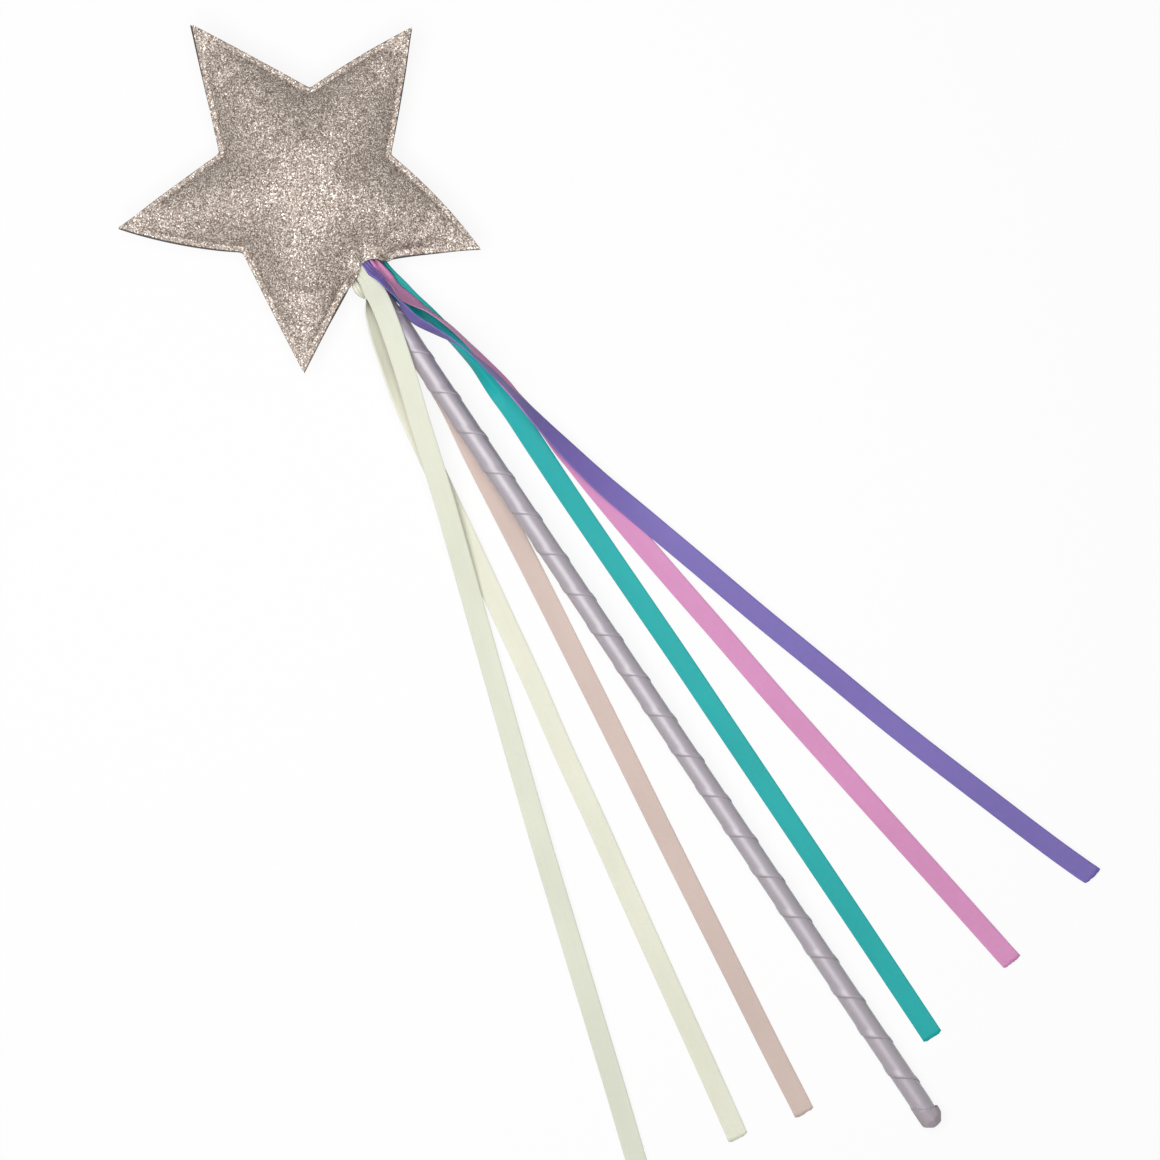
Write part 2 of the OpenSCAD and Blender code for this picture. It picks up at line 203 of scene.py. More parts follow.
RIBBONS = {
    "sage": {
        "crest": 3.876,
        "fall_from": 20,
        "layer": 2,
        "route": [
            (-0.5, 4), (-0.5, 8), (-1.3, 13), (-2.7, 19), (-4.6, 26), (-6.9, 34), (-10.5, 45), (-14.4, 58),
            (-18.7, 72), (-24, 88), (-30, 106), (-36.5, 126), (-44, 149), (-52, 174), (-60, 200), (-68, 226),
            (-76, 252), (-83, 274),
        ],
        "gather": 4.2,
        "open": 6,
        "roll": [(-9, -15), (0, -15), (6, -4), (14, -4), (24, -7), (36, -6), (55, 0)],
        "lift": [(0, 0), (5, 0.2), (11, 0.8), (15, 0.4), (24, 0), (120, 0), (170, 0.9), (220, 0.2), (274, 0)],
    },
    "cream": {
        "layer": 1,
        "route": [
            (-4.1, 3), (-3.9, 7), (-5, 12.5), (-7.2, 19), (-9.4, 27), (-11.3, 35), (-13, 45), (-15, 58),
            (-17.4, 73), (-20, 90), (-23, 109), (-26.5, 131), (-30.5, 153), (-34.5, 178), (-39, 204),
            (-43.5, 231), (-48, 258), (-52.1, 282),
        ],
        "gather": 3.2,
        "open": 10,
        "roll": [
            (-9, -100), (-4, -92), (0, -30), (3, -42), (7, -95), (12, -136), (28, -140), (42, -158),
            (60, -180),
        ],
    },
    "blush": {
        "layer": 0,
        "route": [
            (0.1, 5), (0.2, 11), (0.3, 18), (0.2, 26), (0, 36), (-0.8, 48), (-3, 63), (-5.1, 80), (-7.1, 97),
            (-9.3, 115), (-11.6, 133), (-14, 152), (-16.6, 172), (-19.4, 193), (-22.2, 215), (-25.2, 239),
            (-28.4, 264), (-31.1, 287),
        ],
        "roll": [(-9, 0), (40, 0)],
    },
    "teal": {
        "layer": 0,
        "route": [
            (6.3, 2.5), (6.2, 6), (6.2, 10), (6.9, 14.5), (8.2, 20), (9.6, 27), (11.1, 35), (12.8, 43),
            (14.2, 56), (14.2, 71), (14.1, 88), (14.2, 108), (14.4, 129), (14.6, 150), (14.6, 173),
            (14.6, 197), (14.6, 222), (14.6, 248), (14.4, 289.5),
        ],
        "lip": (-1.2, 6.1),
        "open": 11,
        "roll": [
            (-9, -48), (-3, -40), (2, -12), (7, 0), (14, -8), (22, -32), (32, -38), (43, -28), (56, 0),
            (72, 0),
        ],
        "fold": [(10, 0), (22, -80), (32, -92), (43, -66), (58, 0)],
        "lift": [(8, 0), (18, 1.3), (30, 2), (42, 1.4), (58, 0)],
    },
    "pink": {
        "layer": 1,
        "route": [
            (4.8, 3.5), (5.2, 7.5), (6.1, 12), (8, 16.2), (9.9, 20.4), (12.3, 27), (14, 34), (15.6, 43),
            (16.9, 51), (17.5, 56), (18.9, 66), (19.7, 73), (21.1, 80), (22.1, 91), (23.9, 109), (26.4, 130),
            (29.2, 152), (32, 175), (35.4, 200), (39.2, 227), (43.2, 255), (47.2, 284),
        ],
        "lip": (-1, 4.5),
        "gather": 3.2,
        "open": 12,
        "roll": [
            (-9, 80), (-3, 60), (1, 25), (4, 38), (7.5, 66), (12, 56), (16, 66), (20, 79), (27, 80), (34, 79),
            (42, 71), (51, 64), (56, 66), (66, 58), (73, 48), (80, 10), (86, 0),
        ],
        "fold": [(-6, 0), (0, 55), (5, 45), (10, 8), (15, 0)],
        "lift": [(4, 0), (12, 0.5), (18, 1), (34, 1), (50, 0)],
    },
    "purple": {
        "crest": 5.976,
        "rise": 4,
        "gather": 3.4,
        "fall_from": 20,
        "layer": 2,
        "route": [
            (3.3, 4), (3.7, 8), (4.1, 12.5), (4.4, 17), (5.1, 20.5), (7.9, 26), (11, 32), (13.2, 38),
            (15.3, 46), (16.6, 52), (17.7, 58), (20.2, 73), (24.4, 92), (29.3, 109), (35.4, 130), (42, 153),
            (49.6, 178), (58, 206), (68, 236), (76.6, 261), (82.2, 276),
        ],
        "roll": [
            (-9, 35), (0, 40), (4.4, 58), (8.3, 74), (12.5, 92), (16, 108), (19, 112), (23, 110), (28, 103),
            (34, 92), (42, 80), (47, 76), (52, 77), (56, 74), (62, 64), (68, 54), (78, 38), (90, 24),
            (104, 8), (116, 0),
        ],
        "lift": [(0, 0), (110, 0), (150, 0.7), (190, 0.1), (230, 0.8), (262, 0.3), (275, 0)],
        "slant": 0.1,
    },
}
print("Ribbons:", ", ".join(RIBBONS))

# %% [markdown]
# A ribbon's height comes from what is under it. It leaves the shaft at its root, rides on the bundle for a
# while, and then sinks to its own layer on the table, where the later ribbons lie on the earlier ones.

# %% The course of a ribbon
joints = {joint["name"]: joint for joint in frame["joints"]}


def shaft_height(y):
    return star_centre.z / MM + (y - star_centre.y / MM) * math.tan(tilt)


def ribbon_course(name):
    ribbon = RIBBONS[name]
    root_x, neck_y, root_z = (value / MM for value in joints[f"{name}_swing"]["pos_m"])
    axis_z = shaft_height(neck_y)
    start = root_z - axis_z
    crest = ribbon.get("crest", start)
    fall_from = ribbon.get("fall_from", 0)
    fall_to = FALL_END + FALL_PER_LAYER * ribbon["layer"]
    low = TABLE_GAP + RIBBON_T / 2 + ribbon["layer"] * LAYER_STEP
    tucked = ROOT_R / math.hypot(root_x, start)
    sideways = [
        (ROOT_D, root_x * tucked),
        (STRAIGHT_SHARE * ROOT_D, root_x * tucked),
        ribbon.get("lip", (0, root_x)),
    ]
    sideways += [(d, x) for x, d in ribbon["route"]]

    def centre(d):
        share = along([(ROOT_D, tucked), (TIED_SHARE * ROOT_D, tucked), (0, 1)], d)
        high = axis_z + start * share + (crest - start) * smooth(d / ribbon.get("rise", RISE_D))
        sunk = smooth((d - fall_from) / (fall_to - fall_from))
        z = high + (low - high) * sunk - min(d, 0) * math.tan(tilt) + along(ribbon.get("lift", LEVEL), d)
        return Vector((along(sideways, d), neck_y - d, z))

    return centre


# %% [markdown]
# Inside the mouth the full width is gathered into small pleats, which open out over the first 16 mm. A
# ribbon keeps a trace of the reel's curl across its width, so its edges stand a little higher.

# %% Lay the ribbons
COLUMNS = 12
ROW_MM = 1.2
PLEAT_H = 0.38
PLEAT_WAVES = 1.5
CUP_H = 0.1
CUT_ROUGHNESS = 0.1
CORNER_CUT = 0.4
CORNER_FROM = 0.7
CUT_ROWS = 3
GATHER_RAMP = 3
UP = Vector((0, 0, 1))


def woven_strip(columns, rows, width, length):
    bm = bmesh.new()
    weave = bm.loops.layers.uv.new("weave")
    bmesh.ops.create_grid(bm, x_segments=columns, y_segments=rows, size=0.5)
    bmesh.ops.translate(bm, vec=(0.5, 0.5, 0), verts=bm.verts)
    bmesh.ops.scale(bm, vec=(width, length, 1), verts=bm.verts)
    for face in bm.faces:
        for loop in face.loops:
            loop[weave].uv = loop.vert.co.xy
    return bm


def lay_ribbon(name):
    ribbon = RIBBONS[name]
    centre = ribbon_course(name)
    end = ribbon["route"][-1][1]
    rows = round((end - ROOT_D) / ROW_MM)
    step = (end - ROOT_D) / rows
    cut_run = CUT_ROWS * step
    scissors = random.Random(name)
    bm = woven_strip(COLUMNS, rows, RIBBON_W, end - ROOT_D)
    for vert in bm.verts:
        u = 2 * vert.co.x / RIBBON_W - 1
        d = ROOT_D + vert.co.y
        cut = smooth((d - end + cut_run) / cut_run)
        middle = centre(d)
        run = centre(d + step / 2) - centre(d - step / 2)
        side = Vector((-run.y, run.x, 0)).normalized()
        crease = along(ribbon.get("fold", LEVEL), d) / 2
        turn = math.radians(along(ribbon["roll"], d) - crease * math.copysign(1, u))
        across = side * math.cos(turn) - UP * math.sin(turn)
        face = side * math.sin(turn) + UP * math.cos(turn)
        opened = smooth(d / ribbon.get("open", OPEN_D))
        narrow = ribbon.get("gather", GATHER_W)
        width = narrow + (RIBBON_W - narrow) * opened
        gathered = (1 - opened) * smooth((d - ROOT_D / 2) / GATHER_RAMP)
        wave = PLEAT_H * gathered**2 * math.cos(2 * math.pi * PLEAT_WAVES * u)
        cup = CUP_H * u * u * opened * math.copysign(1, face.z)
        ragged = cut * (ribbon.get("slant", 0) * u + scissors.uniform(-CUT_ROUGHNESS, CUT_ROUGHNESS))
        ragged -= CORNER_CUT * cut * smooth((abs(u) - CORNER_FROM) / (1 - CORNER_FROM))
        vert.co = middle + across * (u * width / 2) + face * (wave + cup) - Vector((0, ragged, 0))
    path = [centre(ROOT_D + i * step) * MM for i in range(rows + 1)]
    piece = made(bm, f"{name}_loose_ribbon", Matrix.Scale(MM, 4))
    thicken(piece, RIBBON_T, 0)
    return piece, path


ribbons = {}
for name in RIBBONS:
    piece, path = lay_ribbon(name)
    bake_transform(piece)
    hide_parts(f"ribbon_{name}", "ribbon_roots")
    ribbons[name] = piece

# %% [markdown]
# ## Helpers for materials
# Every finish here is built from nodes. `add` makes a node and fills or links its sockets in one line,
# `emboss` gives a material a fine relief, and `new_group` starts a node group for an effect that several
# materials share. Colours are written in sRGB and turned into the linear values that the shader needs.

# %% Helpers for nodes
def srgb(red, green, blue):
    def linear(value):
        value /= 255
        return value / 12.92 if value <= 0.04045 else ((value + 0.055) / 1.055) ** 2.4

    return (linear(red), linear(green), linear(blue), 1.0)


def add(tree, kind, inputs=None, **settings):
    node = tree.nodes.new("ShaderNode" + kind)
    for name, value in settings.items():
        setattr(node, name, value)
    for name, value in (inputs or {}).items():
        if isinstance(value, bpy.types.NodeSocket):
            tree.links.new(value, node.inputs[name])
        else:
            node.inputs[name].default_value = value
    return node


def math_of(tree, operation, first, second=0.0):
    return add(tree, "Math", {0: first, 1: second}, operation=operation).outputs[0]


def vector_of(tree, operation, first, second=(0, 0, 0)):
    return add(tree, "VectorMath", {0: first, 1: second}, operation=operation).outputs["Vector"]


def blend_colour(tree, factor, first, second, mode="MIX"):
    node = add(tree, "Mix", {0: factor, 6: first, 7: second}, data_type="RGBA", blend_type=mode)
    return node.outputs[2]


def remap(tree, value, low, high, new_low=0.0, new_high=1.0):
    ends = {"Value": value, "From Min": low, "From Max": high, "To Min": new_low, "To Max": new_high}
    return add(tree, "MapRange", ends, interpolation_type="SMOOTHSTEP").outputs["Result"]


def cloudy(tree, place, scale, detail=2.0):
    return add(tree, "TexNoise", {"Vector": place, "Scale": scale, "Detail": detail}).outputs["Fac"]


def grey(tree, value):
    return add(tree, "CombineXYZ", {0: value, 1: value, 2: value}).outputs[0]


def emboss(tree, shader, height, strength, depth_mm):
    values = {"Height": height, "Strength": strength, "Distance": depth_mm * MM}
    tree.links.new(add(tree, "Bump", values).outputs["Normal"], shader["Normal"])


def new_group(name, inputs, outputs):
    group = bpy.data.node_groups.new(name, "ShaderNodeTree")
    for socket, kind in inputs.items():
        group.interface.new_socket(socket, in_out="INPUT", socket_type="NodeSocket" + kind)
    for socket, kind in outputs.items():
        group.interface.new_socket(socket, in_out="OUTPUT", socket_type="NodeSocket" + kind)
    return group, group.nodes.new("NodeGroupInput").outputs, group.nodes.new("NodeGroupOutput").inputs


def new_material(name, **constants):
    material = bpy.data.materials.new(name)
    material.use_nodes = True
    tree = material.node_tree
    shader = tree.nodes["Principled BSDF"].inputs
    for socket, value in constants.items():
        shader[socket.replace("_", " ")].default_value = value
    return material, tree, shader


def object_place(tree):
    return add(tree, "TexCoord").outputs["Object"]


# %% [markdown]
# ## Satin
# Satin ribbon is woven so that long smooth warp threads float over the weft. That gives a soft sheen, faint
# streaks along its length, and two firmer edges, the selvedges. The ribbon's own UV map counts millimetres
# across and along it, so the threads follow every twist. One group serves the six loose ribbons, the wrap
# and the cap, each with its own colour and width.

# %% The satin weave
THREAD_MM = 0.16
THREAD_H = 0.25
STREAKS = (2.4, 0.03, 1)
STREAK_H = 0.4
CLOUDS = (0.05, 0.022, 1)
SELVEDGE_MM = 0.45
SELVEDGE_TONE = 0.05
SELVEDGE_DULL = 0.1


def satin_weave():
    group, given, result = new_group(
        "Satin weave",
        {"Weave": "Vector", "Color": "Color", "Width": "Float", "Selvedge": "Float", "Dull": "Float"},
        {"Color": "Color", "Roughness": "Float", "Height": "Float"},
    )
    split = add(group, "SeparateXYZ", {0: given["Weave"]}).outputs
    streaks = cloudy(group, vector_of(group, "MULTIPLY", given["Weave"], STREAKS), 1.0, 3.0)
    clouds = cloudy(group, vector_of(group, "MULTIPLY", given["Weave"], CLOUDS), 1.0)
    far_edge = math_of(group, "SUBTRACT", given["Width"], split["X"])
    from_edge = math_of(group, "MINIMUM", split["X"], far_edge)
    selvedge = remap(group, from_edge, 0.0, SELVEDGE_MM, 1.0, 0.0)
    selvedge = math_of(group, "MULTIPLY", selvedge, given["Selvedge"])

    def threads(socket):
        return math_of(group, "SINE", math_of(group, "MULTIPLY", socket, 2 * math.pi / THREAD_MM))

    weave = math_of(group, "MULTIPLY", threads(split["X"]), threads(split["Y"]))
    value = remap(group, streaks, 0.25, 0.75, 0.985, 1.015)
    value = math_of(group, "MULTIPLY", value, remap(group, clouds, 0.3, 0.7, 0.96, 1.03))
    value = math_of(group, "ADD", value, math_of(group, "MULTIPLY", selvedge, SELVEDGE_TONE))
    tone = blend_colour(group, 1.0, given["Color"], grey(group, value), "MULTIPLY")
    group.links.new(tone, result["Color"])
    rough = math_of(group, "ADD", remap(group, streaks, 0.2, 0.8, 0.0, 0.12), given["Dull"])
    rough = math_of(group, "ADD", rough, math_of(group, "MULTIPLY", selvedge, SELVEDGE_DULL))
    group.links.new(rough, result["Roughness"])
    height = math_of(group, "ADD", math_of(group, "MULTIPLY", weave, THREAD_H), selvedge)
    height = math_of(group, "ADD", height, math_of(group, "MULTIPLY", streaks, STREAK_H))
    group.links.new(height, result["Height"])
    return group


SATIN = satin_weave()
SATIN_BODY = {
    "Subsurface_Weight": 0.35,
    "Subsurface_Radius": (1, 1, 1),
    "Subsurface_Scale": 0.0006,
}


def satin(name, colour, width, selvedge=1.0, dull=0.42, gloss=0.15, **shine):
    material, tree, shader = new_material(name, Specular_IOR_Level=gloss, **SATIN_BODY, **shine)
    weave = add(tree, "UVMap", uv_map="weave").outputs["UV"]
    values = {"Weave": weave, "Color": srgb(*colour), "Width": width, "Selvedge": selvedge, "Dull": dull}
    cloth = add(tree, "Group", values, node_tree=SATIN).outputs
    tree.links.new(cloth["Color"], shader["Base Color"])
    tree.links.new(cloth["Roughness"], shader["Roughness"])
    emboss(tree, shader, cloth["Height"], 0.18, 0.03)
    return material


RIBBON_COLOURS = {
    "sage": (223, 225, 207),
    "cream": (232, 232, 212),
    "blush": (211, 191, 182),
    "teal": (34, 173, 172),
    "pink": (217, 148, 193),
    "purple": (126, 111, 181),
}
for name, piece in ribbons.items():
    piece.data.materials.append(satin(f"{name}_satin", RIBBON_COLOURS[name], RIBBON_W))
print("Satin on", len(ribbons), "ribbons")

# %% [markdown]
# ## The wrapped shaft
# One satin ribbon is wound round the dowel from the star to the tip. Each turn laps over the start of the
# next, so its lower edge stands up by the ribbon's thickness and throws a thin shadow line. It is the same
# woven grid as before, wound on a helix, with its end trimmed square where the cap takes over.

# %% Wind the wrap
WRAP_NEAR = 21
WRAP_FAR = 341.6
WRAP_PITCH = 14.74
WRAP_LAP = 1.2
WRAP_T = 0.22
WRAP_R = 3.17
LAP_RAMP = 1.6
LAP_LIFT = 0.24
TUCK_FROM = 337.5
TUCK_RUN = 2
TUCK_IN = 0.1
TURN_STEPS = 36
WRAP_COLUMNS = 18
WRINKLE_H = 0.05
WRINKLE_EDGE = 4
WRINKLE_ACROSS = 0.35
WRINKLE_ROUND = 2.2
WRINKLE_TURN = 3
WRAP_START = 0.01

helix_angle = math.atan(WRAP_PITCH / (2 * math.pi * WRAP_R))
wrap_turns = (WRAP_FAR - WRAP_NEAR) / WRAP_PITCH
wrap_w = WRAP_PITCH + WRAP_LAP
wrap_bm = woven_strip(WRAP_COLUMNS, round(wrap_turns * TURN_STEPS), wrap_w, wrap_turns)
wrap_uv = wrap_bm.loops.layers.uv["weave"]
for face in wrap_bm.faces:
    for loop in face.loops:
        s, t = loop[wrap_uv].uv
        loop[wrap_uv].uv = (
            s * math.cos(helix_angle),
            t * 2 * math.pi * WRAP_R / math.cos(helix_angle) + s * math.sin(helix_angle),
        )
for vert in wrap_bm.verts:
    s, t = vert.co.xy
    angle = 2 * math.pi * (t - WRAP_START)
    lap = smooth((s - WRAP_PITCH + LAP_RAMP) / LAP_RAMP)
    edge = 1 - smooth(min(s, wrap_w - s) / WRINKLE_EDGE)
    round_x = WRINKLE_ROUND * math.cos(angle)
    round_y = WRINKLE_ROUND * math.sin(angle)
    spot = Vector((s * WRINKLE_ACROSS, round_x, t * WRINKLE_TURN + round_y))
    wrinkle = WRINKLE_H * edge * noise.noise(spot)
    reach = WRAP_NEAR + WRAP_PITCH * t + s
    tucked = smooth((reach - TUCK_FROM) / TUCK_RUN)
    r = WRAP_R + (LAP_LIFT * lap + max(wrinkle, 0)) * (1 - tucked) - TUCK_IN * tucked
    vert.co = Vector((r * math.cos(angle), -reach, -r * math.sin(angle)))
cut_off(wrap_bm, (0, -WRAP_FAR, 0), (0, -1, 0))
bmesh.ops.recalc_face_normals(wrap_bm, faces=wrap_bm.faces)
wrap = made(wrap_bm, "satin_wrap", WAND)
thicken(wrap, WRAP_T, 0)
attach(wrap, "wand")
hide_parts("wrap_ribbon")
WRAP_COLOUR = (165, 156, 165)
WRAP_SHINE = {"Coat_Weight": 0.9, "Coat_Roughness": 0.5}
woven_w = wrap_w * math.cos(helix_angle)
wrap_satin = satin("wrap_satin", WRAP_COLOUR, woven_w, selvedge=0.0, dull=0.36, gloss=1.0, **WRAP_SHINE)
wrap.data.materials.append(wrap_satin)
print("The wrap makes", round(wrap_turns, 1), "turns")

# %% [markdown]
# ## The folded tip
# At the tip the ribbon's tail is folded over the dowel's end and pulled tight. Its upper edge runs at the
# slant of the winding, its blunt end has the flat facets of folded cloth, and one pleat stands proud on the
# right. A profile is spun round the shaft, cut off at that slant, and then the pleat is pushed out and every
# point that lies outside a facet's plane is pressed back onto it.

# %% Fold the cap
CAP_PROFILE = [(3.5, -334), (3.52, -343), (3.4, -344.8), (2.9, -345.7), (1.2, -346), (0, -346)]
CAP_FACETS = [
    ((-0.56, -0.83, 0), (-3.4, -344.1, 0)),
    ((0.18, -0.98, 0), (-0.6, -346, 0)),
    ((0.84, -0.54, 0), (2.15, -345.5, 0)),
    ((-0.2, -0.5, 0.84), (0.3, -343.8, 3.42)),
    ((0.5, -0.45, 0.74), (0.3, -343.8, 3.72)),
]
CAP_COLOUR = (172, 163, 170)
CAP_STEPS = 64
CAP_RINGS = 5
CAP_CUT = (0, -339.3, 0)
CAP_SLANT = (0.52, 1, 0)
CAP_WEAVE_FROM = 4
CAP_WEAVE_X = 0.8
CAP_WEAVE_Y = -0.3
CAP_WEAVE_W = 200
WELD = 1e-3
PLEAT_ANGLE = 62
PLEAT_SOFT = 14
PLEAT_LOW = -70
PLEAT_FADE = 60
PLEAT_PROUD = 0.42
PLEAT_END = -346.2
PLEAT_RUN = 3
PLEAT_CORE = 2

cap_bm = bmesh.new()
profile = [cap_bm.verts.new((r, y, 0)) for r, y in CAP_PROFILE]
for first, second in zip(profile, profile[1:]):
    cap_bm.edges.new((first, second))
bmesh.ops.subdivide_edges(cap_bm, edges=cap_bm.edges[:], cuts=CAP_RINGS)
bmesh.ops.spin(
    cap_bm,
    geom=cap_bm.verts[:] + cap_bm.edges[:],
    cent=(0, 0, 0),
    axis=(0, 1, 0),
    angle=2 * math.pi,
    steps=CAP_STEPS,
    use_merge=True,
)
bmesh.ops.remove_doubles(cap_bm, verts=cap_bm.verts, dist=WELD)
cut_off(cap_bm, CAP_CUT, CAP_SLANT)
bmesh.ops.recalc_face_normals(cap_bm, faces=cap_bm.faces)
for vert in cap_bm.verts:
    r = math.hypot(vert.co.x, vert.co.z)
    angle = math.degrees(math.atan2(vert.co.z, vert.co.x))
    pleat = smooth((PLEAT_ANGLE - angle) / PLEAT_SOFT) * smooth((angle - PLEAT_LOW) / PLEAT_FADE)
    pleat *= smooth((vert.co.y - PLEAT_END) / PLEAT_RUN) * min(1, r / PLEAT_CORE)
    proud = PLEAT_PROUD * pleat
    if r > WELD:
        vert.co.x *= 1 + proud / r
        vert.co.z *= 1 + proud / r
    for normal, point in CAP_FACETS:
        outward = Vector(normal).normalized()
        vert.co -= outward * max((vert.co - Vector(point)).dot(outward), 0)
cap_uv = cap_bm.loops.layers.uv.new("weave")
for face in cap_bm.faces:
    for loop in face.loops:
        x, y, z = loop.vert.co
        loop[cap_uv].uv = (CAP_WEAVE_FROM + x * CAP_WEAVE_X + y * CAP_WEAVE_Y, y)
cap = made(cap_bm, "folded_tip", WAND)
thicken(cap, WRAP_T, -1)
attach(cap, "wand")
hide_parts("tip_cap")
cap_satin = satin("cap_satin", CAP_COLOUR, CAP_WEAVE_W, selvedge=0.0, dull=0.4, gloss=0.4)
cap.data.materials.append(cap_satin)

# %% [markdown]
# ## The dowel
# The stick under the wrap is plain turned wood. Its solid is right as it is, so it keeps its own mesh and
# only gets a grain: noise that is stretched along the stick, in two close browns.

# %% Grain the dowel
GRAIN = (900, 22, 900)


def wood():
    material, tree, shader = new_material("dowel_wood", Roughness=0.6)
    grain_place = vector_of(tree, "MULTIPLY", object_place(tree), GRAIN)
    grain = cloudy(tree, grain_place, 1.0, 6.0)
    colour = blend_colour(tree, remap(tree, grain, 0.3, 0.7), srgb(206, 172, 124), srgb(166, 124, 78))
    tree.links.new(colour, shader["Base Color"])
    emboss(tree, shader, grain, 0.4, 0.1)
    return material


dowel = frame["nodes"]["dowel"]
dowel.data.materials.clear()
dowel.data.materials.append(wood())

# %% [markdown]
# ## The lashing
# Inside the mouth a thread ties the six gathered ends to the shaft. A small circle is spun round the shaft
# while it slides along it, which is the winding itself.

# %% Wind the lashing
LASH_TURNS = 8
LASH_STEPS = 24
LASH_R = 4.0
LASH_SIDES = 8
LASH_FILL = 0.48
lash_low, lash_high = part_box("neck_lashing")
lash_from = (WAND.inverted() @ Vector((0, lash_high.y, star_centre.z))).y
lash_to = (WAND.inverted() @ Vector((0, lash_low.y, star_centre.z))).y
lash_step = (lash_to - lash_from) / (LASH_TURNS + 1)
lash_bm = bmesh.new()
bmesh.ops.create_circle(
    lash_bm,
    segments=LASH_SIDES,
    radius=abs(lash_step) * LASH_FILL,
    matrix=Matrix.Translation((LASH_R, lash_from + lash_step / 2, 0)),
)
bmesh.ops.spin(
    lash_bm,
    geom=lash_bm.verts[:] + lash_bm.edges[:],
    cent=(0, 0, 0),
    axis=(0, 1, 0),
    dvec=(0, lash_step / LASH_STEPS, 0),
    angle=2 * math.pi * LASH_TURNS,
    steps=LASH_TURNS * LASH_STEPS,
)
bmesh.ops.holes_fill(lash_bm, edges=lash_bm.edges, sides=LASH_SIDES)
bmesh.ops.recalc_face_normals(lash_bm, faces=lash_bm.faces)
lashing = made(lash_bm, "neck_thread", WAND)


TWIST_SCALE = 1500
TWIST_SHADE = 0.82


def thread(name, colour):
    material, tree, shader = new_material(name, Roughness=0.7, Sheen_Weight=0.3)
    values = {"Vector": object_place(tree), "Scale": TWIST_SCALE, "Distortion": 1.5}
    twist = add(tree, "TexWave", values).outputs["Fac"]
    shade = (value * TWIST_SHADE for value in colour)
    tone = blend_colour(tree, twist, srgb(*colour), srgb(*shade))
    tree.links.new(tone, shader["Base Color"])
    emboss(tree, shader, twist, 0.4, 0.05)
    return material


lashing.data.materials.append(thread("lashing_thread", (222, 214, 205)))
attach(lashing, "wand")
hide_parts("neck_lashing")

# %% [markdown]
# ## The star's pattern
# The star is two panels cut from the same five-pointed pattern, sewn together along a flat rim and stuffed.
# The neck notch is left open as a mouth for the shaft. A pattern maker cuts it flat first, so one arm is cut
# from a grid with straight slices, like a kite from the centre to the tip, and turned into five. The slices
# along the sewing line give the rim its own row of faces.

# %% Cut the flat star
TIP_R = 57.5
NOTCH_R = 28
RIM_W = 1.7
DOME_H = 11.5
FABRIC_T = 0.8
RIM_LOOPS = (RIM_W - 0.35, RIM_W, RIM_W + 0.4)
CELL = 1.5
ARMS = 5
ARM_WELD = 0.02
CORE_WELD = 0.2
ARM_TURN = 2 * math.pi / ARMS
FIRST_TIP = math.radians(-54)
notch_v = NOTCH_R * math.sin(ARM_TURN / 2)
notch_u = NOTCH_R * math.cos(ARM_TURN / 2)
edge_l = math.hypot(TIP_R - notch_u, notch_v)


def flat_star(cell):
    bm = bmesh.new()
    columns = 2 * math.ceil(notch_v / cell)
    rows = math.ceil(TIP_R / cell)
    bmesh.ops.create_grid(bm, x_segments=rows, y_segments=columns, size=0.5)
    bmesh.ops.translate(bm, vec=(0.5, 0, 0), verts=bm.verts)
    bmesh.ops.scale(bm, vec=(rows * cell, columns * cell, 1), verts=bm.verts)
    for side in (1, -1):
        corner = Vector((notch_u, side * notch_v, 0))
        outward = Vector((notch_v, side * (TIP_R - notch_u), 0)) / edge_l
        cut_off(bm, corner, outward)
        for depth in RIM_LOOPS:
            cut_off(bm, corner - outward * depth, outward, clear=False)
        cut_off(bm, (0, 0, 0), (-notch_v, side * notch_u, 0))
    bmesh.ops.rotate(bm, matrix=Matrix.Rotation(FIRST_TIP, 3, "Z"), verts=bm.verts)
    bmesh.ops.spin(
        bm,
        geom=bm.verts[:] + bm.edges[:] + bm.faces[:],
        cent=(0, 0, 0),
        axis=(0, 0, 1),
        angle=ARM_TURN * (ARMS - 1),
        steps=ARMS - 1,
        use_duplicate=True,
    )
    bmesh.ops.remove_doubles(bm, verts=bm.verts, dist=ARM_WELD)
    inside = [vert for vert in bm.verts if not vert.is_boundary]
    bmesh.ops.remove_doubles(bm, verts=inside, dist=CORE_WELD)
    bmesh.ops.recalc_face_normals(bm, faces=bm.faces)
    if bm.faces[0].normal.z < 0:
        bmesh.ops.reverse_faces(bm, faces=bm.faces)
    return bm


# %% [markdown]
# ## The star's shape
# A point of the flat pattern knows its arm and how deep it lies inside the arm's two edges. From these come
# the bow of each edge, the lip of the mouth, which the photograph shows drawn up in the middle, and the
# height of the stuffed fabric. In the photograph the back panel's dark cut edge shows past the front on four
# edges, so the back is a little wider there. It was sewn by hand, so no two arms are quite alike.

